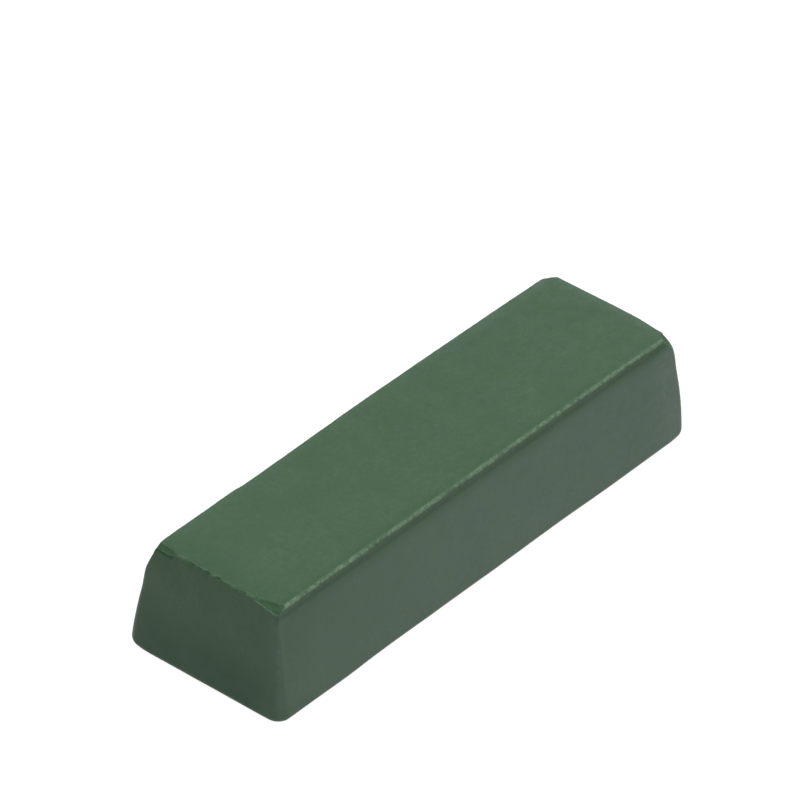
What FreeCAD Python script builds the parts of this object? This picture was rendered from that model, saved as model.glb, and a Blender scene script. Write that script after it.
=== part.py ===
"""Bar of cast polishing compound: one tapered block of wax-bound abrasive.

The frame: +X runs along the bar, +Y across it and +Z up. The origin is the
centre of the underside, so the bar stands on z = 0. All lengths are in mm.
"""
import FreeCAD, Part
import math
import os

from FreeCAD import Rotation, Vector

# Overall size
LENGTH = 90.0
WIDTH = 27.4
HEIGHT = 17.4                   # to the top face, inside the flash

# The narrow face that the mould's draft leaves on top
TOP_LENGTH = 85.3
TOP_WIDTH = 21.45

# Walls and edges
WALL_BOW = 0.35             # how far the walls swell at mid-height
BASE_CORNER_RADIUS = 2.0    # upright corners, in plan, at the base
TOP_CORNER_RADIUS = 0.8     # upright corners, in plan, at the top
BASE_EDGE_RADIUS = 1.2      # round edge where the walls meet the underside

# Flash left at the mould's parting line, round the top face
FLASH_WIDTH = 0.7
FLASH_OVERHANG = 0.12       # how far it stands out past the wall
FLASH_DEPTH = 0.45          # how far it reaches down the wall
FLASH_RISE = 0.10           # how far it stands above the top face
FLASH_EDGE_RADIUS = 0.12

# Chips broken from the top corners. Each is a plane that cuts the corner:
# signs of the corner, its outward normal, and the cut's depth along that normal.
CHIPS = [
    ((-1, -1), (-0.30, -0.20, 0.93), 0.74),
    ((-1, 1), (-0.45, 0.35, 0.82), 0.80),
    ((1, -1), (0.47, -0.68, 0.57), 0.92),
    ((1, 1), (0.55, 0.60, 0.58), 1.00),
]
CHIP_TOOL_SIZE = 12.0

PARTS_FOLDER = "parts"


def rounded_rectangle(length, width, radius, z):
    """Closed outline centred on the Z axis: four straight sides, four arcs."""
    edges = []
    for quarter in range(4):
        corner_x = (length / 2 - radius) * (1 if quarter in (0, 3) else -1)
        corner_y = (width / 2 - radius) * (1 if quarter in (0, 1) else -1)
        centre = Vector(corner_x, corner_y, z)
        angles = [math.pi / 2 * (quarter + step / 2) for step in range(3)]
        points = [centre + Vector(math.cos(a), math.sin(a), 0) * radius for a in angles]
        if edges:
            edges.append(Part.LineSegment(last_point, points[0]).toShape())
        else:
            first_point = points[0]
        edges.append(Part.Arc(*points).toShape())
        last_point = points[2]
    edges.append(Part.LineSegment(last_point, first_point).toShape())
    return Part.Wire(edges)


def make_block():
    """The draughted block, its walls a little swollen, its base edge rounded."""
    middle_length = (LENGTH + TOP_LENGTH) / 2 + 2 * WALL_BOW
    middle_width = (WIDTH + TOP_WIDTH) / 2 + 2 * WALL_BOW
    middle_radius = (BASE_CORNER_RADIUS + TOP_CORNER_RADIUS) / 2
    outlines = [
        rounded_rectangle(LENGTH, WIDTH, BASE_CORNER_RADIUS, 0),
        rounded_rectangle(middle_length, middle_width, middle_radius, HEIGHT / 2),
        rounded_rectangle(TOP_LENGTH, TOP_WIDTH, TOP_CORNER_RADIUS, HEIGHT),
    ]
    block = Part.makeLoft(outlines, True, False)
    base_edges = [edge for edge in block.Edges if edge.BoundBox.ZMax < 1e-3]
    return block.makeFillet(BASE_EDGE_RADIUS, base_edges)


def make_flash():
    """A low ring with rounded edges, along the rim of the top face."""
    bottom = HEIGHT - FLASH_DEPTH
    rise = Vector(0, 0, FLASH_DEPTH + FLASH_RISE)
    outer = rounded_rectangle(TOP_LENGTH + 2 * FLASH_OVERHANG, TOP_WIDTH + 2 * FLASH_OVERHANG,
                              TOP_CORNER_RADIUS + FLASH_OVERHANG, bottom)
    inset = FLASH_WIDTH - FLASH_OVERHANG
    inner = rounded_rectangle(TOP_LENGTH - 2 * inset, TOP_WIDTH - 2 * inset,
                              TOP_CORNER_RADIUS - inset, bottom)
    ring = Part.Face(outer).extrude(rise).cut(Part.Face(inner).extrude(rise))
    rim_edges = [edge for edge in ring.Edges if edge.BoundBox.ZMin > HEIGHT]
    return ring.makeFillet(FLASH_EDGE_RADIUS, rim_edges)


def chip_tool(signs, normal, depth):
    """A box that lies beyond the plane of a chip at one top corner."""
    corner = Vector(signs[0] * TOP_LENGTH / 2, signs[1] * TOP_WIDTH / 2, HEIGHT)
    direction = Vector(*normal).normalize()
    tool = Part.makeBox(CHIP_TOOL_SIZE, CHIP_TOOL_SIZE, CHIP_TOOL_SIZE)
    tool.translate(Vector(-CHIP_TOOL_SIZE / 2, -CHIP_TOOL_SIZE / 2, 0))
    turn = Rotation(Vector(0, 0, 1), direction)
    tool.Placement = FreeCAD.Placement(corner - direction * depth, turn).multiply(tool.Placement)
    return tool


def make_compound_bar():
    """The whole casting: block and flash in one, less the chipped corners."""
    bar = make_block().fuse(make_flash())
    for signs, normal, depth in CHIPS:
        bar = bar.cut(chip_tool(signs, normal, depth))
    return bar.removeSplitter()


def main():
    os.makedirs(PARTS_FOLDER, exist_ok=True)
    bar = make_compound_bar().Solids[0]
    bar.exportStep(os.path.join(PARTS_FOLDER, "compound_bar.step"))
    box = bar.BoundBox
    print("compound_bar: %.2f x %.2f x %.2f mm, z from %.3f, %.2f cm3, valid %s"
          % (box.XLength, box.YLength, box.ZLength, box.ZMin, bar.Volume / 1000, bar.isValid()))


main()
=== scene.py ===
"""Looks of a cast bar of polishing compound: its worn surface, material, floor, light and camera.

Shapes are worked out in millimetres in the CAD frame (+X along the bar, +Y across, +Z up, origin at
the centre of the underside) and turned into metres when the mesh is made. The near end is the one at
-X and the front is the long wall at -Y.
"""
import math
from typing import NamedTuple

import bpy
import numpy as np
from mathutils import Matrix, Vector, noise


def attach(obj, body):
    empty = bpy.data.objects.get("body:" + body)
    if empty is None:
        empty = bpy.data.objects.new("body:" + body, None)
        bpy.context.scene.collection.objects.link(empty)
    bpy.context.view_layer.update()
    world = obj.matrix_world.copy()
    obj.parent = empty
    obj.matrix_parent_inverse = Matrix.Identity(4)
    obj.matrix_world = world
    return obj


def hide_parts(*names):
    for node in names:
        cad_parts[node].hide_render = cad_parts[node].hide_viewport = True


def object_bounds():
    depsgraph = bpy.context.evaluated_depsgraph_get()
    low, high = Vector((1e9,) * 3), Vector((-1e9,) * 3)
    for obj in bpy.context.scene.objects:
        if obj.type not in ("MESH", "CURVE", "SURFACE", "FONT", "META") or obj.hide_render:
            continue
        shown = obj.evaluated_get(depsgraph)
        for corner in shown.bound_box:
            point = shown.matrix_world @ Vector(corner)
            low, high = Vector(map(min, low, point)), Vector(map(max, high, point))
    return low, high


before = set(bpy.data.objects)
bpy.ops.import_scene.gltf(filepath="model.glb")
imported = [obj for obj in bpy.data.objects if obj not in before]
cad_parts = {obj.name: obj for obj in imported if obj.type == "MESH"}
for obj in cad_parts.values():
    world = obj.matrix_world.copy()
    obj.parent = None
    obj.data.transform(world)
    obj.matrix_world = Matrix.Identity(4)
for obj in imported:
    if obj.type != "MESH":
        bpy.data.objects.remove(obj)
cad_low, cad_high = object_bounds()

MM = 0.001
NODE = "compound_bar"

# ---- the casting, in mm ----------------------------------------------------------------------
BEAD_RISE = 0.06         # bead of flash round the rim of the top face, above that face
FOOT_ROUNDING = (0.16, 0.26)    # what its round foot takes off the CAD bar's length and width
BAR_LENGTH = (cad_high.x - cad_low.x) / MM + FOOT_ROUNDING[0]      # at the underside, if it were sharp
BAR_WIDTH = (cad_high.y - cad_low.y) / MM + FOOT_ROUNDING[1]
BAR_HEIGHT = (cad_high.z - cad_low.z) / MM - BEAD_RISE
END_DRAFT = 2.27         # how far each end leans in from base to top
SIDE_DRAFT = 2.92        # how far each long wall leans in
WALL_BOW = 0.38          # swelling of the walls at mid-height
TOP_END = BAR_LENGTH / 2 - END_DRAFT       # the top face reaches this far along and across
TOP_SIDE = BAR_WIDTH / 2 - SIDE_DRAFT

# values of the four corners are in the order near front, near rear, far front, far rear
BASE_CORNERS = (2.20, 1.80, 1.95, 1.70)    # plan radius of the upright corners at the base
TOP_CORNER = 0.35        # and at the top
CORNER_EASING = 1.2      # the radius shrinks fastest just above the base
TOP_EDGE = 0.42          # radius of the edge between the top face and the walls
BASE_EDGE = 1.0          # radius of the round edge under the walls
CORNER_EDGE_MORE = (0.10, 0.60, 0.42, 0.42)    # how much larger that is at each corner
CORNER_REACH = 4.0       # and how far along the walls that fades out
WALL_BLEND = 0.6         # how gradually one wall gives way to the next round a corner

BEAD_WIDTH = 0.80        # the bead's reach from the rim in over the top
FAR_BEAD_NARROWER = 0.40    # share of that lost towards the far end
FAR_BEAD_START = 22.0    # from this place along the bar, over this length
FAR_BEAD_FADE = 16.0
BEAD_DEPTH = 0.75        # the bead's reach down the wall
BEAD_OVERHANG = 0.11     # the bead stands out most a little below the rim
OVERHANG_DROP = 0.38
OVERHANG_REACH = 0.65
POWDER_AND_HIGHLIGHT_DROP = 0.14       # its powder, partly a painted highlight, lies between that and its crest
POWDER_AND_HIGHLIGHT_WIDTH = 0.72
POWDER_AND_HIGHLIGHT_DEPTH = 0.50
UNDERCUT_DROP = 0.70     # its underside is rough
UNDERCUT_REACH = 0.50
UNDERCUT_ROUGHNESS = 0.35
COVE_DEPTH = 0.09        # shallow hollow in the long walls just under the bead
COVE_DROP = 1.10
COVE_REACH = 0.65

# ---- the mesh's grid, in mm: fine by the rims, coarser away from them --------------------------
FINE_STEP = 0.10
BASE_STEP = 0.20
FINE_ZONE = 1.2
STEP_GROWTH = 0.09       # growth of the step for each mm past the fine zone
LENGTH_STEP = 0.34
WIDTH_STEP = 0.28
HEIGHT_STEP = 0.80
UNDERSIDE_RIM = 2.4      # further in than this from the walls, the flat underside is a single face
NOTHING = 1e-6           # lengths shorter than this count as none


def smoothstep(value):
    """0 up to 0, 1 from 1 on, and a smooth rise between."""
    t = np.clip(value, 0.0, 1.0)
    return t * t * (3 - 2 * t)


def ramp(value, start, length):
    """0 before start, rising smoothly to 1 over the length, which is negative where value falls."""
    return smoothstep((value - start) / length)


def bump(distance, width):
    """1 at distance 0, falling smoothly to 0 at the given width."""
    return 1 - smoothstep(np.abs(distance) / width)


def graded(length, first_step, last_step, largest_step):
    """Positions from 0 to length whose steps grow away from both ends."""
    positions = [0.0]
    while positions[-1] < length:
        place = positions[-1]
        from_start = first_step + STEP_GROWTH * max(place - FINE_ZONE, 0)
        from_end = last_step + STEP_GROWTH * max(length - place - FINE_ZONE, 0)
        positions.append(place + min(from_start, from_end, largest_step))
    return np.array(positions) * (length / positions[-1])


def box_shell(xs, ys, zs):
    """Lattice of a closed box: the points on its six faces, and polygons that face outwards.

    The middle of the underside is one polygon, and everything else is in quads.
    """
    shape = (len(xs), len(ys), len(zs))
    index = np.indices(shape)
    on_shell = np.zeros(shape, bool)
    for axis in range(3):
        on_shell |= (index[axis] == 0) | (index[axis] == shape[axis] - 1)
    x0, x1 = np.searchsorted(xs, (xs[0] + UNDERSIDE_RIM, xs[-1] - UNDERSIDE_RIM))
    y0, y1 = np.searchsorted(ys, (ys[0] + UNDERSIDE_RIM, ys[-1] - UNDERSIDE_RIM))
    on_shell[x0 + 1:x1, y0 + 1:y1, 0] = False
    ids = np.full(shape, -1)
    ids[on_shell] = np.arange(on_shell.sum())
    points = np.stack([line[index[axis][on_shell]] for axis, line in enumerate((xs, ys, zs))], 1)
    polygons = []
    for axis in range(3):
        for side in (0, -1):
            sheet = np.take(ids, side, axis=axis)
            quad = np.stack([sheet[:-1, :-1], sheet[1:, :-1], sheet[1:, 1:], sheet[:-1, 1:]], -1)
            if (axis == 1) == (side == -1):
                quad = quad[..., ::-1]
            if (axis, side) == (2, 0):
                quad[x0:x1, y0:y1] = -1
            quad = quad.reshape(-1, 4)
            polygons += quad[quad.min(1) >= 0].tolist()
    under = ids[:, :, 0]
    outline = [under[x0:x1, y0], under[x1, y0:y1], under[x1:x0:-1, y1], under[x0, y1:y0:-1]]
    polygons.append(np.concatenate(outline)[::-1].tolist())
    return points, polygons


SEED_STEPS = (17.3, -9.1, 5.7)      # each seed moves a random field by this much more
OCTAVES = 3                         # layers of a field, each finer than the last by the ratio
OCTAVE_RATIO = 2.0
OCTAVE_FALL = 1.0                   # and weaker by the ratio to this power


def noise_field(points, size, seed):
    """Smooth random field, about -1 to 1, whose features are about size across."""
    shift = Vector([step * seed for step in SEED_STEPS])
    places = [Vector(point) / size + shift for point in points]
    return np.array([noise.fractal(place, OCTAVE_FALL, OCTAVE_RATIO, OCTAVES) for place in places])


def per_corner(x, y, values):
    """The value of the corner nearest to each point, out of near front, near rear, far front, far rear."""
    return np.array(values)[2 * (x > 0) + (y > 0)]


class Surface:
    """Points of the bar's surface in mm, with what each place on it needs to know."""

    def __init__(self, lattice):
        x, y, z = lattice.T
        t = z / BAR_HEIGHT
        bow = WALL_BOW * 4 * t * (1 - t)
        half_x = BAR_LENGTH / 2 - END_DRAFT * t + bow
        half_y = BAR_WIDTH / 2 - SIDE_DRAFT * t + bow
        x = x / (BAR_LENGTH / 2) * half_x
        y = y / (BAR_WIDTH / 2) * half_y
        # distance in from the walls in plan, with square rings turned into round ones at the corners
        base_corner = per_corner(x, y, BASE_CORNERS)
        corner = TOP_CORNER + (base_corner - TOP_CORNER) * (1 - t) ** CORNER_EASING
        core_x = np.clip(x, corner - half_x, half_x - corner)
        core_y = np.clip(y, corner - half_y, half_y - corner)
        dx, dy = x - core_x, y - core_y
        spread = np.maximum(np.hypot(dx, dy), NOTHING)
        reach = np.maximum(np.abs(dx), np.abs(dy))
        to_walls = np.stack([half_x + x, half_x - x, half_y + y, half_y - y], 1)
        self.out_x, self.out_y = dx / spread, dy / spread
        self.inward = np.where(reach > NOTHING, corner - reach, to_walls.min(1))
        self.depth = BAR_HEIGHT - z
        self.height_share = t
        # distance from the top face's rim: in over the face above 0, down the wall below 0
        self.rim = np.where(z > BAR_HEIGHT - NOTHING, self.inward, -self.depth)
        share = np.exp(-to_walls / WALL_BLEND)
        self.near_end, self.far_end, self.front, self.back = (share / share.sum(1, keepdims=True)).T
        # round edges above and below
        top = t > 0.5
        by_corner = bump(to_walls[:, :2].min(1) + to_walls[:, 2:].min(1), CORNER_REACH)
        edge = np.where(top, TOP_EDGE, BASE_EDGE + per_corner(x, y, CORNER_EDGE_MORE) * by_corner)
        from_face = np.where(top, self.depth, z)
        a, b = edge - self.inward, edge - from_face
        rounded = (a > 0) & (b > 0)
        pull = np.where(rounded, edge / np.maximum(np.hypot(a, b), NOTHING), 1.0)
        inset = np.where(rounded, edge - a * pull, self.inward)
        from_face = np.where(rounded, edge - b * pull, from_face)
        reach = np.where(reach > NOTHING, corner - inset, 0.0)
        self.points = np.stack([
            core_x + self.out_x * reach,
            core_y + self.out_y * reach,
            np.where(top, BAR_HEIGHT - from_face, from_face),
        ], 1)
        self.powder_and_highlight = np.zeros(len(self.points))
        self.broken_and_shaded = np.zeros(len(self.points))
        self.regrown = np.zeros(len(self.points))

    def push_out(self, amount):
        """Moves the points outwards from the walls, level with the underside."""
        self.points[:, 0] += self.out_x * amount
        self.points[:, 1] += self.out_y * amount

    def raise_by(self, amount):
        """Moves the points up."""
        self.points[:, 2] += amount


# ---- slow waves of a hand-poured casting, in mm -------------------------------------------------
WALL_RIPPLE = 0.06
WALL_RIPPLE_SIZE = 13.0
TOP_WAVE = 0.045
TOP_WAVE_SIZE = 11.0
TOP_WAVE_INSET = 3.0     # the top's waves grow from its rim over this distance
RIM_REACH = 4.5          # what bends the rim fades out this far below it
SIDE_START = -2.0        # what bends a long wall fades in from here, over this distance across the bar
SIDE_FADE = 8.0
END_START = 30.0         # what bends an end fades in from here, over this distance along the bar
END_FADE = 10.0
REAR_BOW = 0.27          # the rear rim bows out at the middle, by less with the square of the distance
REAR_BOW_CURVE = 0.00018
REAR_DENT = 0.20         # and is knocked in from here, suddenly, and back out slowly
DENT_START = -26.5
DENT_LENGTH = 2.2
DENT_END_START = -21.0
DENT_END_LENGTH = 24.0
FAR_BOW = 0.12           # the far rim bows out, more at the middle, and is drawn in at the front
FAR_BULGE_PLACE = -2.0
FAR_BULGE_REACH = 10.0
FAR_DRAW = 0.44
FAR_DRAW_START = -4.5
FAR_DRAW_LENGTH = 5.5
FOOT_SPREAD = 0.07       # the front foot spreads, but is hollow between these places
FOOT_HOLLOW = 0.12
HOLLOW_START = -31.0
HOLLOW_START_LENGTH = 8.0
HOLLOW_END = 16.0
HOLLOW_END_LENGTH = 12.0
NEAR_FOOT_SKEW = 0.009   # the near end's foot is askew by this much for each mm across
NEAR_REAR_SWELL = 0.34   # two upright corners swell below the rim
NEAR_REAR_DEPTH = 3.4
NEAR_REAR_REACH = 4.5
FAR_FRONT_SWELL = 0.26
FAR_FRONT_DEPTH = 2.4
FAR_FRONT_REACH = 4.0
SWELL_START = 4.0        # these fade in from here across the bar, over these distances along and across
SWELL_FADE = (12.0, 6.0)


def corner_swell(bar, sign_x, sign_y, depth, reach):
    """1 at the given depth on one upright corner, fading out up, down and along both walls."""
    along = ramp(sign_x * bar.points[:, 0], END_START, SWELL_FADE[0])
    across = ramp(sign_y * bar.points[:, 1], SWELL_START, SWELL_FADE[1])
    return bump(bar.depth - depth, reach) * along * across


def add_slow_waves(bar):
    """The uneven walls, top and foot of the bar, and its dented rear edge."""
    near_top = 1 - smoothstep(bar.depth / RIM_REACH)
    near_base = (1 - bar.height_share) ** 3
    ripple = noise_field(bar.points, WALL_RIPPLE_SIZE, seed=1)
    bar.push_out(WALL_RIPPLE * ripple * smoothstep(-bar.rim))
    wave = noise_field(bar.points, TOP_WAVE_SIZE, seed=2)
    bar.raise_by(TOP_WAVE * wave * near_top * smoothstep(bar.inward / TOP_WAVE_INSET))

    x, y = bar.points[:, 0], bar.points[:, 1]
    bow = REAR_BOW - REAR_BOW_CURVE * x ** 2
    dent = REAR_DENT * ramp(x, DENT_START, DENT_LENGTH) * (1 - ramp(x, DENT_END_START, DENT_END_LENGTH))
    y += (bow - dent) * near_top * ramp(y, SIDE_START, SIDE_FADE)

    bow = FAR_BOW * (1 + bump(y - FAR_BULGE_PLACE, FAR_BULGE_REACH))
    draw = FAR_DRAW * ramp(y, FAR_DRAW_START, -FAR_DRAW_LENGTH)
    x += (bow - draw) * near_top * ramp(x, END_START, END_FADE)

    hollow = ramp(x, HOLLOW_START, HOLLOW_START_LENGTH) * (1 - ramp(x, HOLLOW_END, HOLLOW_END_LENGTH))
    y += (FOOT_HOLLOW * hollow - FOOT_SPREAD) * near_base * ramp(y, SIDE_START, -SIDE_FADE)
    x -= NEAR_FOOT_SKEW * y * near_base * ramp(x, -END_START, -END_FADE)

    near_rear = NEAR_REAR_SWELL * corner_swell(bar, -1, 1, NEAR_REAR_DEPTH, NEAR_REAR_REACH)
    far_front = FAR_FRONT_SWELL * corner_swell(bar, 1, -1, FAR_FRONT_DEPTH, FAR_FRONT_REACH)
    bar.push_out(near_rear + far_front)


# ---- the bead: its strength along each wall, and how much slow and quick unevenness changes it ---
BEAD_STRENGTH = {
    "front": (0.95, 0.45, 0.48),
    "back": (0.65, 0.25, 0.20),
    "far_end": (0.28, 0.25, 0.20),
    "near_end": (0.00, 0.05, 0.30),
}
STRONGEST_BEAD = 1.6
SLOW_SIZE = 4.0          # sizes of that unevenness, in mm
QUICK_SIZE = 0.8
NEAR_LIP = 0.45          # extra strength on the front, by the near end: amount, place along, reach
NEAR_LIP_PLACE = -39.8
NEAR_LIP_REACH = 2.6
NEAR_BURR = 0.14         # extra strength on the near end: amount, place across, reach
NEAR_BURR_PLACE = -5.0
NEAR_BURR_REACH = 3.5
POWDER_AND_HIGHLIGHT = 1.08            # how thick the powder and the painted highlight in it are on a bead of strength 1, and how much that varies
POWDER_AND_HIGHLIGHT_PATCHES = 0.50
POWDER_AND_HIGHLIGHT_PATCH_SIZE = 2.2
POWDER_AND_HIGHLIGHT_GRAINS = 0.80
POWDER_AND_HIGHLIGHT_GRAIN_SIZE = 0.6


def add_bead(bar):
    """The worn bead along the top's rim: full at the front, thinner elsewhere, faint at the near end; its
    pale crest is partly powdery wear and partly a painted highlight.
    """
    x, y, _ = bar.points.T
    slow = noise_field(bar.points, SLOW_SIZE, seed=3)
    quick = noise_field(bar.points, QUICK_SIZE, seed=4)
    strength = bar.front * NEAR_LIP * bump(x - NEAR_LIP_PLACE, NEAR_LIP_REACH)
    strength += bar.near_end * NEAR_BURR * bump(y - NEAR_BURR_PLACE, NEAR_BURR_REACH)
    for wall, (mean, slow_share, quick_share) in BEAD_STRENGTH.items():
        strength += getattr(bar, wall) * (mean + slow_share * slow + quick_share * quick)
    strength = np.clip(strength, 0.0, STRONGEST_BEAD)
    narrower = 1 - FAR_BEAD_NARROWER * ramp(x, FAR_BEAD_START, FAR_BEAD_FADE)
    long_walls = bar.front + bar.back
    crest = bump(bar.rim, np.where(bar.rim > 0, BEAD_WIDTH * narrower, BEAD_DEPTH))
    bar.raise_by(BEAD_RISE * strength * crest * (bar.rim > -TOP_EDGE))
    overhang = BEAD_OVERHANG * strength * bump(bar.rim + OVERHANG_DROP, OVERHANG_REACH)
    cove = COVE_DEPTH * long_walls * bump(bar.rim + COVE_DROP, COVE_REACH)
    bar.push_out(overhang - cove)

    dust_and_highlight = POWDER_AND_HIGHLIGHT + POWDER_AND_HIGHLIGHT_PATCHES * noise_field(bar.points, POWDER_AND_HIGHLIGHT_PATCH_SIZE, seed=7)
    dust_and_highlight += POWDER_AND_HIGHLIGHT_GRAINS * noise_field(bar.points, POWDER_AND_HIGHLIGHT_GRAIN_SIZE, seed=8)
    from_powder_and_highlight = bar.rim + POWDER_AND_HIGHLIGHT_DROP
    width = np.where(from_powder_and_highlight > 0, POWDER_AND_HIGHLIGHT_WIDTH * narrower, POWDER_AND_HIGHLIGHT_DEPTH)
    bar.powder_and_highlight = strength * dust_and_highlight * bump(from_powder_and_highlight, width)
    bar.broken_and_shaded = UNDERCUT_ROUGHNESS * bump(bar.rim + UNDERCUT_DROP, UNDERCUT_REACH) * long_walls


# ---- crumbs and pits along the near end's top edge, in mm ---------------------------------------
# The large ones: place across the bar, distance in from the edge, height, and size.
LARGE_CRUMBS = [
    (4.3, -0.25, -0.22, 0.50),
    (3.0, 0.35, 0.12, 0.35),
    (1.75, -0.20, -0.30, 0.38),
    (0.85, -0.05, 0.26, 0.30),
    (-0.10, -0.15, -0.30, 0.36),
    (-3.6, 0.75, -0.10, 0.25),
    (-4.3, -0.10, -0.16, 0.35),
]
# The small ones: how many, how near to the long walls, and the ranges of the other three values.
SMALL_CRUMBS = 40
CRUMB_SEED = 11
CRUMB_MARGIN = 3.5
CRUMB_INSET = (-0.25, 0.45)
CRUMB_HEIGHT = (-0.10, 0.10)
CRUMB_SIZE = (0.20, 0.45)
CRUMB_SLANT = 0.7        # both up and out from the edge, by this share of the height
FRESH_PIT = 0.45         # a pit of this depth would be all fresh compound
PALE_CRUMB = 0.30        # a crumb of this height would be all pale, but none is paler than that
PALEST_CRUMB = 0.7


def add_crumbs(bar):
    """The ragged near end of the top face: the few large crumbs and many small ones."""
    rng = np.random.default_rng(CRUMB_SEED)
    across = BAR_WIDTH / 2 - CRUMB_MARGIN
    small_crumbs = [
        (rng.uniform(-across, across), rng.uniform(*CRUMB_INSET),
         rng.uniform(*CRUMB_HEIGHT), rng.uniform(*CRUMB_SIZE))
        for _ in range(SMALL_CRUMBS)
    ]
    for place, inset, height, size in LARGE_CRUMBS + small_crumbs:
        distance = np.hypot(bar.points[:, 1] - place, bar.rim - inset)
        amount = height * np.exp(-(distance / size) ** 2) * bar.near_end
        bar.raise_by(CRUMB_SLANT * amount)
        bar.push_out(CRUMB_SLANT * amount)
        bar.broken_and_shaded = np.maximum(bar.broken_and_shaded, np.clip(-amount / FRESH_PIT, 0, 1))
        bar.powder_and_highlight = np.maximum(bar.powder_and_highlight, np.clip(amount / PALE_CRUMB, 0, PALEST_CRUMB))


# ---- the ledge where the near end's edge broke away by the rear corner, in mm --------------------
LEDGE_WIDTH = 0.62
LEDGE_STEP = 0.16        # drop from the top face, and slope beyond that
LEDGE_SLOPE = 0.62
LEDGE_START = 6.9        # where it begins across the bar, and over how far it widens
LEDGE_TAPER = 1.5
LEDGE_RAGGED = 0.10      # how uneven its width and its face are, and the size of that
LEDGE_RAGGED_SIZE = 1.3
LEDGE_CRUMBLE = 0.09
LEDGE_CRUMBLE_SIZE = 0.45
LEDGE_LIP = 0.14         # width of the worn lip above it
FRESH_CUT = 0.08         # a cut of this depth shows nothing but fresh compound
NOTCH_DEPTH = 0.15       # the notch below the ledge
NOTCH_DROP = 0.70
NOTCH_WANDER = 0.14
NOTCH_REACH = 0.26
NOTCH_START = 7.2
NOTCH_TAPER = 0.8


def add_ledge(bar):
    """A slanting shelf along the near end by the rear corner, with a small notch below it."""
    x, y, z = bar.points.T
    ragged = noise_field(bar.points, LEDGE_RAGGED_SIZE, seed=6)
    crumbled = noise_field(bar.points, LEDGE_CRUMBLE_SIZE, seed=9)
    along = ramp(y, LEDGE_START, LEDGE_TAPER)
    width = along * (LEDGE_WIDTH + LEDGE_RAGGED * ragged)
    past_step = width - (x + TOP_END)
    slope = LEDGE_SLOPE * np.clip(past_step, 0, LEDGE_WIDTH)
    shelf = BAR_HEIGHT - along * (LEDGE_STEP + LEDGE_CRUMBLE * crumbled) - slope
    lowered = z + smoothstep(past_step / LEDGE_LIP) * (np.minimum(z, shelf) - z)
    bar.broken_and_shaded = np.maximum(bar.broken_and_shaded, smoothstep((z - lowered) / FRESH_CUT))
    bar.points[:, 2] = lowered
    notch = bump(bar.depth - NOTCH_DROP - NOTCH_WANDER * crumbled, NOTCH_REACH)
    notch *= ramp(y, NOTCH_START, NOTCH_TAPER) * bar.near_end
    bar.push_out(-NOTCH_DEPTH * notch)
    # the notch is painted in the darker fresh colour too: painted shade in the groove
    bar.broken_and_shaded = np.maximum(bar.broken_and_shaded, notch)


# ---- chips broken from the top corners, in mm ----------------------------------------------------
class Chip(NamedTuple):
    """The face of the break at one top corner."""
    signs: tuple         # of the corner, along and across
    normal: tuple        # of the face, outwards
    depth: float         # in from the sharp corner
    roughness: float
    hollow: float        # how much deeper than flat, as a share
    regrown: float       # share of the face that bloom has covered again
    bruise: float        # how pale the face's lower edge is, of 1


CHIPS = [
    Chip((-1, -1), (-0.40, -0.12, 0.91), 0.62, 0.08, 0.10, 0.0, 0.75),
    Chip((-1, 1), (-0.16, 0.93, 0.33), 0.25, 0.05, 0.0, 0.2, 0.3),
    Chip((1, -1), (0.54, -0.56, 0.63), 0.88, 0.10, 0.15, 0.25, 0.9),
    Chip((1, 1), (0.53, 0.72, 0.45), 1.08, 0.08, 0.0, 0.5, 0.5),
]
CHIP_STEP = 0.07         # the small cliff round a break, and how wide it is
CHIP_STEP_WIDTH = 0.08
CHIP_FADE = 0.10         # the fresh colour grows over this distance
CHIP_GRAIN_SIZE = 0.9    # coarse and fine unevenness of a break, and the fine one's share
CHIP_FINE_GRAIN_SIZE = 0.4
CHIP_FINE_GRAIN = 0.4
BRUISE_REACH = 0.22
BRUISE_DROP = 0.1        # bruises lie lower than this under the rim, worn lips higher


def add_chips(bar):
    """Cuts each top corner back to the rough face of its chip, with a pale bruise along its lower edge."""
    rough = noise_field(bar.points, CHIP_GRAIN_SIZE, seed=5)
    rough += CHIP_FINE_GRAIN * noise_field(bar.points, CHIP_FINE_GRAIN_SIZE, seed=10)
    below = bar.rim < -BRUISE_DROP
    for chip in CHIPS:
        corner = np.array([chip.signs[0] * TOP_END, chip.signs[1] * TOP_SIDE, BAR_HEIGHT])
        outwards = np.array(chip.normal) / np.linalg.norm(chip.normal)
        beyond = (bar.points - corner) @ outwards + chip.depth + chip.roughness * rough
        bruise = chip.bruise * bump(beyond, BRUISE_REACH) * below
        lip = ramp(beyond, -CHIP_STEP_WIDTH, CHIP_STEP_WIDTH) * ~below
        beyond = np.maximum(beyond, 0.0)
        cut = beyond * (1 + chip.hollow) + CHIP_STEP * smoothstep(beyond / CHIP_STEP_WIDTH)
        bar.points -= cut[:, None] * outwards
        inside = smoothstep(beyond / CHIP_FADE)
        bar.broken_and_shaded = np.maximum(bar.broken_and_shaded, np.maximum(inside, lip) * (1 - chip.regrown))
        bar.regrown = np.maximum(bar.regrown, inside * chip.regrown)
        bar.powder_and_highlight = np.maximum(bar.powder_and_highlight * (1 - inside), bruise)


# ---- bloom, and painted light, sheen and shade in the colour -------------------------------------
UPRIGHT_START = 1.0      # the painted light on the near front upright edge begins this far below the top, over this distance
UPRIGHT_FADE = 1.5
# how much pale colour of each kind that edge gets as painted light
UPRIGHT_LIGHT_AS_POWDER = 0.28
UPRIGHT_LIGHT_AS_BLOOM = 0.40
# the foot is made rougher, and darker towards the fresh colour, which is painted shade where the bar meets
# the floor
FOOT_DULLNESS = 0.35
FOOT_DULL_REACH = 0.9


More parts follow.
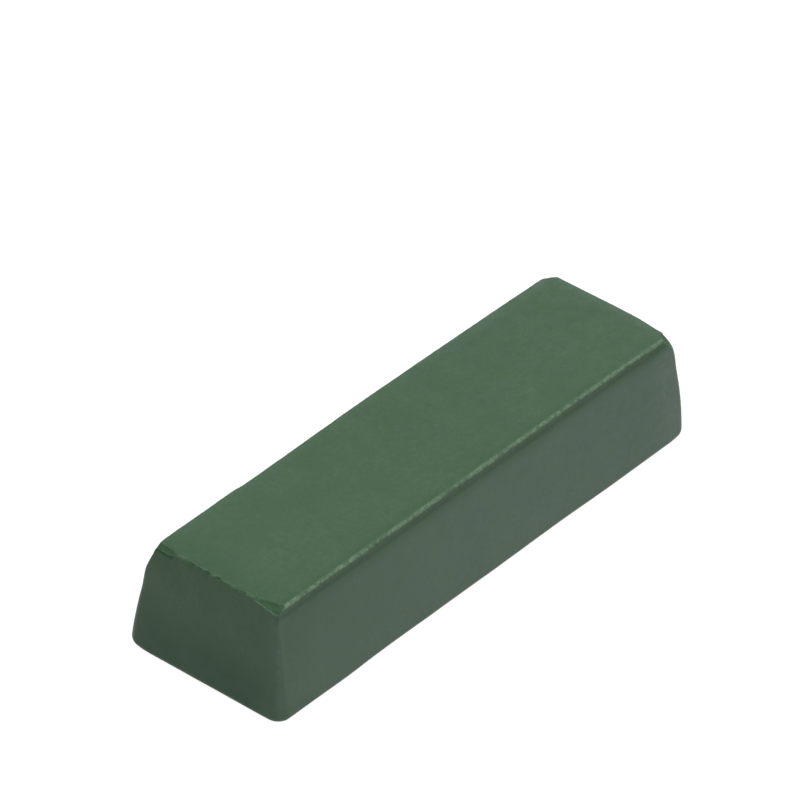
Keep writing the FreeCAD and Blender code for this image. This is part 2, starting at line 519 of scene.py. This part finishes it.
def upright_painted_light(bar):
    """Painted light: 1 on the near front upright edge, where each wall's share is a half, below the bead.
    """
    return 4 * bar.front * bar.near_end * ramp(bar.depth, UPRIGHT_START, UPRIGHT_FADE)


def paint_upright_light_and_foot_shade(bar):
    """Paints light on the near front upright edge in pale colour, and makes the edge round the foot
    rougher and darker, which is painted shade.
    """
    bar.broken_and_shaded = np.maximum(bar.broken_and_shaded, FOOT_DULLNESS * bump(bar.points[:, 2], FOOT_DULL_REACH))
    bar.powder_and_highlight = np.maximum(bar.powder_and_highlight, UPRIGHT_LIGHT_AS_POWDER * upright_painted_light(bar))


# Pale layer on the long walls, partly bloom and partly painted sheen standing for the white table's
# reflection: at the middle, more towards the far end, less towards both ends
WALL_BLOOM_AND_SHEEN = 0.58
WALL_SHEEN_SLOPE = 0.14
WALL_BLOOM_AND_SHEEN_CURVE = 0.10
CORNER_SHEEN = 0.40      # painted sheen: more by the far front corner
CORNER_SHEEN_START = (36.0, 4.0)    # along and across
CORNER_SHEEN_FADE = 7.0
NEAR_LESS_SHEEN = 0.20         # less painted sheen by the near, shaded end
NEAR_LESS_SHEEN_PLACE = -43.0
NEAR_LESS_SHEEN_REACH = 9.0
BEAD_SHADE_BAND = 0.9       # none down to this far below the rim, a band of painted shade under the bead, then growing over this distance
BEAD_SHADE_BAND_FADE = 2.6
CORNER_SHADE_BAND_LESS = 1.2
END_BLOOM = 0.08         # a little on the upper part of the ends
END_BLOOM_TOP = 0.62
END_BLOOM_FADE = 0.45
TOP_PAINTED_SHEEN = 0.12          # a painted sheen on the top, towards the far end
TOP_SHEEN_START = -10.0
TOP_SHEEN_FADE = 50.0
RIM_PAINTED_SHEEN = 0.14          # and more painted sheen by the rear and far rims
FAR_RIM_PAINTED_SHEEN = 0.32
RIM_SHEEN_START = 5.0
RIM_SHEEN_FADE = 35.0
RIM_SHEEN_WIDTH = 2.4


def bloom_and_sheen_cover(bar):
    """How thick the pale layer lies, partly bloomed wax and partly painted sheen: thick on the long walls,
    thin on the ends, none by the bead (painted shade there); with painted light on the near front upright
    edge and painted sheen on the top towards the far end and along the rear and far rims.
    """
    x, y, _ = bar.points.T
    along = x / TOP_END
    start_x, start_y = CORNER_SHEEN_START
    far_corner = ramp(x, start_x, CORNER_SHEEN_FADE) * ramp(-y, start_y, CORNER_SHEEN_FADE)
    amount = WALL_BLOOM_AND_SHEEN + WALL_SHEEN_SLOPE * along - WALL_BLOOM_AND_SHEEN_CURVE * along ** 2
    amount += CORNER_SHEEN * far_corner - NEAR_LESS_SHEEN * bump(x - NEAR_LESS_SHEEN_PLACE, NEAR_LESS_SHEEN_REACH)
    below_bead = ramp(-bar.rim, BEAD_SHADE_BAND, BEAD_SHADE_BAND_FADE - CORNER_SHADE_BAND_LESS * far_corner)
    long_walls = np.sqrt(bar.front + bar.back) * amount * below_bead
    upper = smoothstep(-bar.rim) * (1 - ramp(bar.height_share, END_BLOOM_TOP, -END_BLOOM_FADE))
    ends = (bar.near_end + bar.far_end) * END_BLOOM * upper
    walls = long_walls + ends + UPRIGHT_LIGHT_AS_BLOOM * upright_painted_light(bar)
    rim_sheen = RIM_PAINTED_SHEEN + FAR_RIM_PAINTED_SHEEN * ramp(x, RIM_SHEEN_START, RIM_SHEEN_FADE)
    rim_sheen *= bump(bar.inward, RIM_SHEEN_WIDTH) * (bar.back + bar.far_end)
    top = TOP_PAINTED_SHEEN * ramp(x, TOP_SHEEN_START, TOP_SHEEN_FADE) + rim_sheen
    return np.where(bar.rim < 0, walls, top) + bar.regrown


END_DARK = 0.80          # painted shade on the low part of the ends, darkest a little to the front of the middle
END_DARK_MIDDLE = 0.20
END_DARK_PLACE = -4.0
END_DARK_REACH = 9.0
END_DARK_TOP = 0.66
END_DARK_FADE = 0.5
CORNER_LIGHT = 0.40      # and less of that painted shade by the front corner
CORNER_LIGHT_PLACE = -13.5
CORNER_LIGHT_REACH = 6.0
FOOT_DARK = 0.35         # painted shade along the foot of the long walls
FOOT_DARK_REACH = 3.0
UNDER_BEAD_DARK = 0.45   # painted shade in a line under the bead, and a darker line inside it
UNDER_BEAD_DROP = 1.15
UNDER_BEAD_REACH = 0.75
INSIDE_BEAD_DARK = 0.22
INSIDE_BEAD_INSET = 1.0
INSIDE_BEAD_REACH = 0.65
NEAR_RIM_DARK = 0.42     # painted shade on the top by the near, shaded end
NEAR_RIM_REACH = 7.0


def painted_shade_cover(bar):
    """Painted shade: low on the ends, along the foot, under the bead and on the top by the near end, with
    a darker line inside the bead.
    """
    x, y, z = bar.points.T
    long_walls = bar.front + bar.back
    ends = END_DARK + END_DARK_MIDDLE * bump(y - END_DARK_PLACE, END_DARK_REACH)
    ends -= CORNER_LIGHT * bump(y - CORNER_LIGHT_PLACE, CORNER_LIGHT_REACH)
    ends *= (bar.near_end + bar.far_end) ** 2 * ramp(bar.height_share, END_DARK_TOP, -END_DARK_FADE)
    foot = FOOT_DARK * long_walls * bump(z, FOOT_DARK_REACH)
    under_bead = UNDER_BEAD_DARK * long_walls * bump(bar.rim + UNDER_BEAD_DROP, UNDER_BEAD_REACH)
    inside_bead = INSIDE_BEAD_DARK * bar.front * bump(bar.rim - INSIDE_BEAD_INSET, INSIDE_BEAD_REACH)
    near_rim = NEAR_RIM_DARK * (bar.rim > 0) * bump(x + TOP_END, NEAR_RIM_REACH)
    return ends + foot + under_bead + inside_bead + near_rim


# ---- the mesh ------------------------------------------------------------------------------------
def make_surface():
    """The bar's surface with all its wear, and the polygons that join its points."""
    xs = graded(BAR_LENGTH, FINE_STEP, FINE_STEP, LENGTH_STEP) - BAR_LENGTH / 2
    ys = graded(BAR_WIDTH, FINE_STEP, FINE_STEP, WIDTH_STEP) - BAR_WIDTH / 2
    zs = graded(BAR_HEIGHT, BASE_STEP, FINE_STEP, HEIGHT_STEP)
    lattice, polygons = box_shell(xs, ys, zs)
    bar = Surface(lattice)
    add_slow_waves(bar)
    add_bead(bar)
    add_crumbs(bar)
    add_ledge(bar)
    add_chips(bar)
    paint_upright_light_and_foot_shade(bar)
    bar.points[:, 2] = np.maximum(bar.points[:, 2], 0.0)
    return bar, polygons


def store(mesh, name, values):
    """Keeps a value for each point of the mesh, for the material to read."""
    attribute = mesh.attributes.new(name, "FLOAT", "POINT")
    attribute.data.foreach_set("value", values.astype(np.float32))


def make_bar():
    """The visible bar, which takes the place of the CAD node."""
    bar, polygons = make_surface()
    mesh = bpy.data.meshes.new("cast_bar")
    mesh.from_pydata((bar.points * MM).tolist(), [], polygons)
    mesh.shade_smooth()
    # these carry real bloom, powder and breaks mixed with painted sheen, highlight, light and shade
    store(mesh, "bloom_and_sheen", bloom_and_sheen_cover(bar))
    store(mesh, "powder_and_highlight", bar.powder_and_highlight)
    store(mesh, "broken_and_shaded", bar.broken_and_shaded)
    store(mesh, "painted_shade", painted_shade_cover(bar))
    mesh.materials.append(make_compound())
    piece = bpy.data.objects.new("cast_bar", mesh)
    bpy.context.scene.collection.objects.link(piece)
    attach(piece, "root")
    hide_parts(NODE)


# ---- material ----------------------------------------------------------------------------------
PIGMENT = (0.0416, 0.0832, 0.0426, 1)
DEEP_PIGMENT = (0.0291, 0.0660, 0.0306, 1)
BLUE_PIGMENT = (0.0362, 0.0745, 0.0490, 1)
# colour of the painted shade
PAINTED_SHADE_COLOUR = (0.0170, 0.0520, 0.0245, 1)
FRESH_PIGMENT = (0.0250, 0.0590, 0.0270, 1)
# pale grey-blue layer: partly bloom, partly painted sheen
PALE_BLOOM_AND_SHEEN = (0.182, 0.212, 0.218, 1)
BLUE_BLOOM_AND_SHEEN = (0.174, 0.209, 0.238, 1)
# pale powdery colour, partly a painted highlight on the bead
PALE_POWDER_AND_HIGHLIGHT = (0.150, 0.215, 0.150, 1)
# how many features of each pattern there are in a metre
BROAD_PATCHES = 110.0
TINTED_PATCHES = 330.0
CLOUDS = 520.0
MOTTLES = 1250.0
GRAINS = 2900.0
STREAKS = 900.0
PIN_HOLES = 240.0
SPECKS = 420.0
STREAK_STRETCH = (0.12, 1.0, 1.0)       # streaks and specks are drawn out along the bar
# what lies between the thin and the full places of a pattern, of its values from 0 to 1
PATCHY = (0.35, 0.65)
CLOUDY = (0.3, 0.7)
TINTED = (0.38, 0.68)
HAZY = (0.38, 0.62)
# from the least to the most of each
PIGMENT_SHARE = (0.40, 1.0)
MOTTLING = (0.0, 0.60)
BLOOM_AND_SHEEN_THICKNESS = (0.14, 0.28)
BLOOM_AND_SHEEN_MOTTLING = (0.75, 1.25)
POWDER_AND_HIGHLIGHT_START = (0.15, 1.0)
POWDER_AND_HIGHLIGHT_COVER = (0.17, 0.57)
WAXY_ROUGHNESS = (0.42, 0.55)
WORN_ROUGHNESS = (0.30, 0.85)
FULLY_WORN = 0.6         # from this much powder or breakage on, the surface is at its roughest
FRESHEST = 0.9           # share of the fresh colour in a fresh break
PIT_DARKNESS = 0.7
SPECK_PALENESS = 0.10
STREAK_RELIEF = 0.35     # relief of a streak beside that of a grain
GRAIN_RELIEF = 0.00008   # in metres, and how much of it shows
GRAIN_STRENGTH = 0.16


class Nodes:
    """Short calls to make and link the nodes of one node tree."""

    def __init__(self, tree):
        self.tree = tree
        tree.nodes.clear()

    def join(self, value, socket):
        """Links value to the socket when it is another node's output, and else sets it there."""
        if isinstance(value, bpy.types.NodeSocket):
            self.tree.links.new(value, socket)
        else:
            socket.default_value = value

    def add(self, kind, inputs=None, **settings):
        node = self.tree.nodes.new(kind)
        for key, value in settings.items():
            setattr(node, key, value)
        for key, value in (inputs or {}).items():
            self.join(value, node.inputs[key])
        return node

    def noise(self, place, scale, detail, roughness):
        node = self.add("ShaderNodeTexNoise", {
            "Vector": place, "Scale": scale, "Detail": detail, "Roughness": roughness})
        return node.outputs["Fac"]

    def spread(self, value, source, target=(0.0, 1.0)):
        """Turns the values of the source range into those of the target range, smoothly."""
        node = self.add("ShaderNodeMapRange", {
            "Value": value, "From Min": source[0], "From Max": source[1],
            "To Min": target[0], "To Max": target[1]}, interpolation_type="SMOOTHSTEP")
        return node.outputs["Result"]

    def math(self, operation, a, b):
        return self.add("ShaderNodeMath", {0: a, 1: b}, operation=operation).outputs[0]

    def mix(self, factor, a, b):
        """Mixes two colours; the Mix node's colour sockets have no names of their own."""
        node = self.add("ShaderNodeMix", {0: factor, 6: a, 7: b}, data_type="RGBA")
        return node.outputs[2]

    def attribute(self, name):
        return self.add("ShaderNodeAttribute", attribute_name=name).outputs["Fac"]


SPOT_CORE = 0.4          # share of a spot's radius that is at full strength


def pinholes(n, place, scale, radius, kept):
    """1 at the middle of sparse round spots; radius is a share of their spacing, kept a share of them."""
    cells = n.add("ShaderNodeTexVoronoi", {"Vector": place, "Scale": scale})
    spot = n.spread(cells.outputs["Distance"], (radius * SPOT_CORE, radius), (1.0, 0.0))
    chance = n.add("ShaderNodeSeparateColor", {"Color": cells.outputs["Color"]}).outputs["Red"]
    return n.math("MULTIPLY", spot, n.math("LESS_THAN", chance, kept))


def make_compound():
    """Waxy green compound: mottled pigment, a grey-blue layer on the walls that is partly bloomed wax and
    partly painted sheen, a powdery bead that is partly a painted highlight, painted light and shade, fine
    grain.
    """
    material = bpy.data.materials.new("green_compound")
    material.use_nodes = True
    n = Nodes(material.node_tree)
    place = n.add("ShaderNodeTexCoord").outputs["Object"]
    broad = n.noise(place, BROAD_PATCHES, detail=3.0, roughness=0.5)
    tint = n.noise(place, TINTED_PATCHES, detail=3.0, roughness=0.6)
    cloudy = n.noise(place, CLOUDS, detail=4.0, roughness=0.65)
    mottle = n.noise(place, MOTTLES, detail=2.0, roughness=0.6)
    fine = n.noise(place, GRAINS, detail=3.0, roughness=0.6)
    streaked = n.add("ShaderNodeMapping", {"Vector": place, "Scale": STREAK_STRETCH}).outputs[0]
    streaks = n.noise(streaked, STREAKS, detail=3.0, roughness=0.6)
    pits = pinholes(n, place, PIN_HOLES, radius=0.045, kept=0.45)
    specks = pinholes(n, streaked, SPECKS, radius=0.05, kept=0.10)
    bloom_and_sheen = n.attribute("bloom_and_sheen")
    powder_and_highlight = n.attribute("powder_and_highlight")
    broken_and_shaded = n.attribute("broken_and_shaded")
    painted_shade = n.attribute("painted_shade")

    colour = n.mix(n.spread(broad, PATCHY, PIGMENT_SHARE), DEEP_PIGMENT, PIGMENT)
    colour = n.mix(n.spread(tint, TINTED, MOTTLING), colour, BLUE_PIGMENT)
    colour = n.mix(n.spread(mottle, PATCHY, MOTTLING), colour, DEEP_PIGMENT)
    colour = n.mix(n.spread(fine, PATCHY, MOTTLING), colour, DEEP_PIGMENT)
    # painted shade mixed into the colour
    colour = n.mix(painted_shade, colour, PAINTED_SHADE_COLOUR)
    colour = n.mix(n.math("MULTIPLY", broken_and_shaded, FRESHEST), colour, FRESH_PIGMENT)

    # the pale layer: partly bloom, partly painted sheen
    thickness = n.spread(cloudy, CLOUDY, BLOOM_AND_SHEEN_THICKNESS)
    thickness = n.math("MULTIPLY", thickness, n.spread(mottle, CLOUDY, BLOOM_AND_SHEEN_MOTTLING))
    haze = n.mix(n.spread(tint, HAZY), PALE_BLOOM_AND_SHEEN, BLUE_BLOOM_AND_SHEEN)
    colour = n.mix(n.math("MULTIPLY", bloom_and_sheen, thickness), colour, haze)

    # pale powdery colour, partly a painted highlight
    dusting_and_highlight = n.spread(fine, CLOUDY, POWDER_AND_HIGHLIGHT_COVER)
    dusting_and_highlight = n.math("MULTIPLY", n.spread(powder_and_highlight, POWDER_AND_HIGHLIGHT_START), dusting_and_highlight)
    dusting_and_highlight = n.math("MAXIMUM", dusting_and_highlight, n.math("MULTIPLY", specks, SPECK_PALENESS))
    colour = n.mix(dusting_and_highlight, colour, PALE_POWDER_AND_HIGHLIGHT)
    colour = n.mix(n.math("MULTIPLY", pits, PIT_DARKNESS), colour, FRESH_PIGMENT)

    relief = n.math("ADD", fine, n.math("MULTIPLY", streaks, STREAK_RELIEF))
    relief = n.math("SUBTRACT", relief, pits)
    grain = n.add("ShaderNodeBump", {
        "Height": relief, "Strength": GRAIN_STRENGTH, "Distance": GRAIN_RELIEF})
    waxy = n.spread(cloudy, CLOUDY, WAXY_ROUGHNESS)
    worn = n.spread(n.math("MAXIMUM", broken_and_shaded, powder_and_highlight), (0.0, FULLY_WORN), WORN_ROUGHNESS)
    roughness = n.math("MAXIMUM", waxy, worn)
    shader = n.add("ShaderNodeBsdfPrincipled", {
        "Base Color": colour,
        "Roughness": roughness,
        "IOR": 1.45,
        "Specular IOR Level": 0.3,
        "Normal": grain.outputs["Normal"],
    })
    n.add("ShaderNodeOutputMaterial", {"Surface": shader.outputs["BSDF"]})
    return material


# ---- floor, light and camera -------------------------------------------------------------------
FLOOR_HALF = 6.0         # half its width, in metres
FLOOR_GREY = 0.07
FLOOR_GLOW = 0.96
HORIZON_GLOW = 1.06      # what the floor reaches where the lights fall on it
SKY_GLOW = 0.14
HORIZON_BAND = (0.02, 0.10)     # the glow falls off between these heights, of 1 straight up


def make_floor():
    """A large pale table that is lit from within, as a product photographer's is."""
    material = bpy.data.materials.new("light_table")
    material.use_nodes = True
    n = Nodes(material.node_tree)
    surface = n.add("ShaderNodeBsdfPrincipled", {
        "Base Color": (FLOOR_GREY, FLOOR_GREY, FLOOR_GREY, 1), "Roughness": 0.9,
        "Emission Color": (1, 1, 1, 1), "Emission Strength": FLOOR_GLOW})
    n.add("ShaderNodeOutputMaterial", {"Surface": surface.outputs["BSDF"]})
    corners = [(x * FLOOR_HALF, y * FLOOR_HALF, 0) for x, y in ((-1, -1), (1, -1), (1, 1), (-1, 1))]
    mesh = bpy.data.meshes.new("floor")
    mesh.from_pydata(corners, [], [(0, 1, 2, 3)])
    mesh.materials.append(material)
    floor = bpy.data.objects.new("floor", mesh)
    bpy.context.scene.collection.objects.link(floor)


def add_sun(name, towards, strength, softness_degrees):
    """A broad distant light that comes from the direction towards."""
    light = bpy.data.lights.new(name, "SUN")
    light.energy = strength
    light.angle = math.radians(softness_degrees)
    sun = bpy.data.objects.new(name, light)
    sun.rotation_mode = "QUATERNION"
    sun.rotation_quaternion = Vector(towards).to_track_quat("Z", "Y")
    bpy.context.scene.collection.objects.link(sun)


def make_world():
    """A dim room above a horizon that carries on the table's white."""
    world = bpy.data.worlds.new("studio")
    world.use_nodes = True
    bpy.context.scene.world = world
    n = Nodes(world.node_tree)
    direction = n.add("ShaderNodeTexCoord").outputs["Generated"]
    upward = n.add("ShaderNodeSeparateXYZ", {"Vector": direction}).outputs["Z"]
    glow = n.spread(upward, HORIZON_BAND, (HORIZON_GLOW, SKY_GLOW))
    sky = n.add("ShaderNodeBackground", {"Color": (1, 1, 1, 1), "Strength": glow})
    n.add("ShaderNodeOutputWorld", {"Surface": sky.outputs["Background"]})


def make_lights():
    """A soft key from the front and a stronger light from overhead, in the dim room."""
    make_world()
    add_sun("key_softbox", towards=(0.12, -0.82, 0.56), strength=0.52, softness_degrees=50)
    add_sun("overhead_softbox", towards=(0.12, 0.03, 1.0), strength=4.4, softness_degrees=60)


CAMERA_AZIMUTH = -52.2985      # degrees; 0 looks along +Y
CAMERA_ELEVATION = 36.9719
CAMERA_ROLL = 3.1666
CAMERA_DISTANCE = 1061.28      # mm, from the aim point
CAMERA_SHIFT = (-2.0891, 12.0614)      # mm, of the aim across and up the picture
FOCAL_PICTURE_WIDTHS = 9.54
SENSOR_WIDTH = 36.0


def make_camera():
    """A long lens that looks down at the near end and the front wall, slightly rolled."""
    azimuth, elevation, roll = (math.radians(a) for a in (
        CAMERA_AZIMUTH, CAMERA_ELEVATION, CAMERA_ROLL))
    back = Vector((math.sin(azimuth) * math.cos(elevation),
                   -math.cos(azimuth) * math.cos(elevation),
                   math.sin(elevation)))
    level = Vector((math.cos(azimuth), math.sin(azimuth), 0))
    upright = back.cross(level)
    right = level * math.cos(roll) + upright * math.sin(roll)
    up = upright * math.cos(roll) - level * math.sin(roll)
    aim = Vector((0, 0, BAR_HEIGHT / 2)) + right * CAMERA_SHIFT[0] + up * CAMERA_SHIFT[1]
    data = bpy.data.cameras.new("camera")
    data.sensor_width = SENSOR_WIDTH
    data.lens = FOCAL_PICTURE_WIDTHS * SENSOR_WIDTH
    data.clip_start = 0.05
    data.clip_end = 20.0
    camera = bpy.data.objects.new("camera", data)
    turn = Matrix((right, up, back)).transposed().to_4x4()
    camera.matrix_world = Matrix.Translation((aim + back * CAMERA_DISTANCE) * MM) @ turn
    bpy.context.scene.collection.objects.link(camera)
    bpy.context.scene.camera = camera


make_camera()
make_bar()
make_floor()
make_lights()
bpy.context.scene.view_settings.view_transform = "Standard"

bpy.context.view_layer.update()
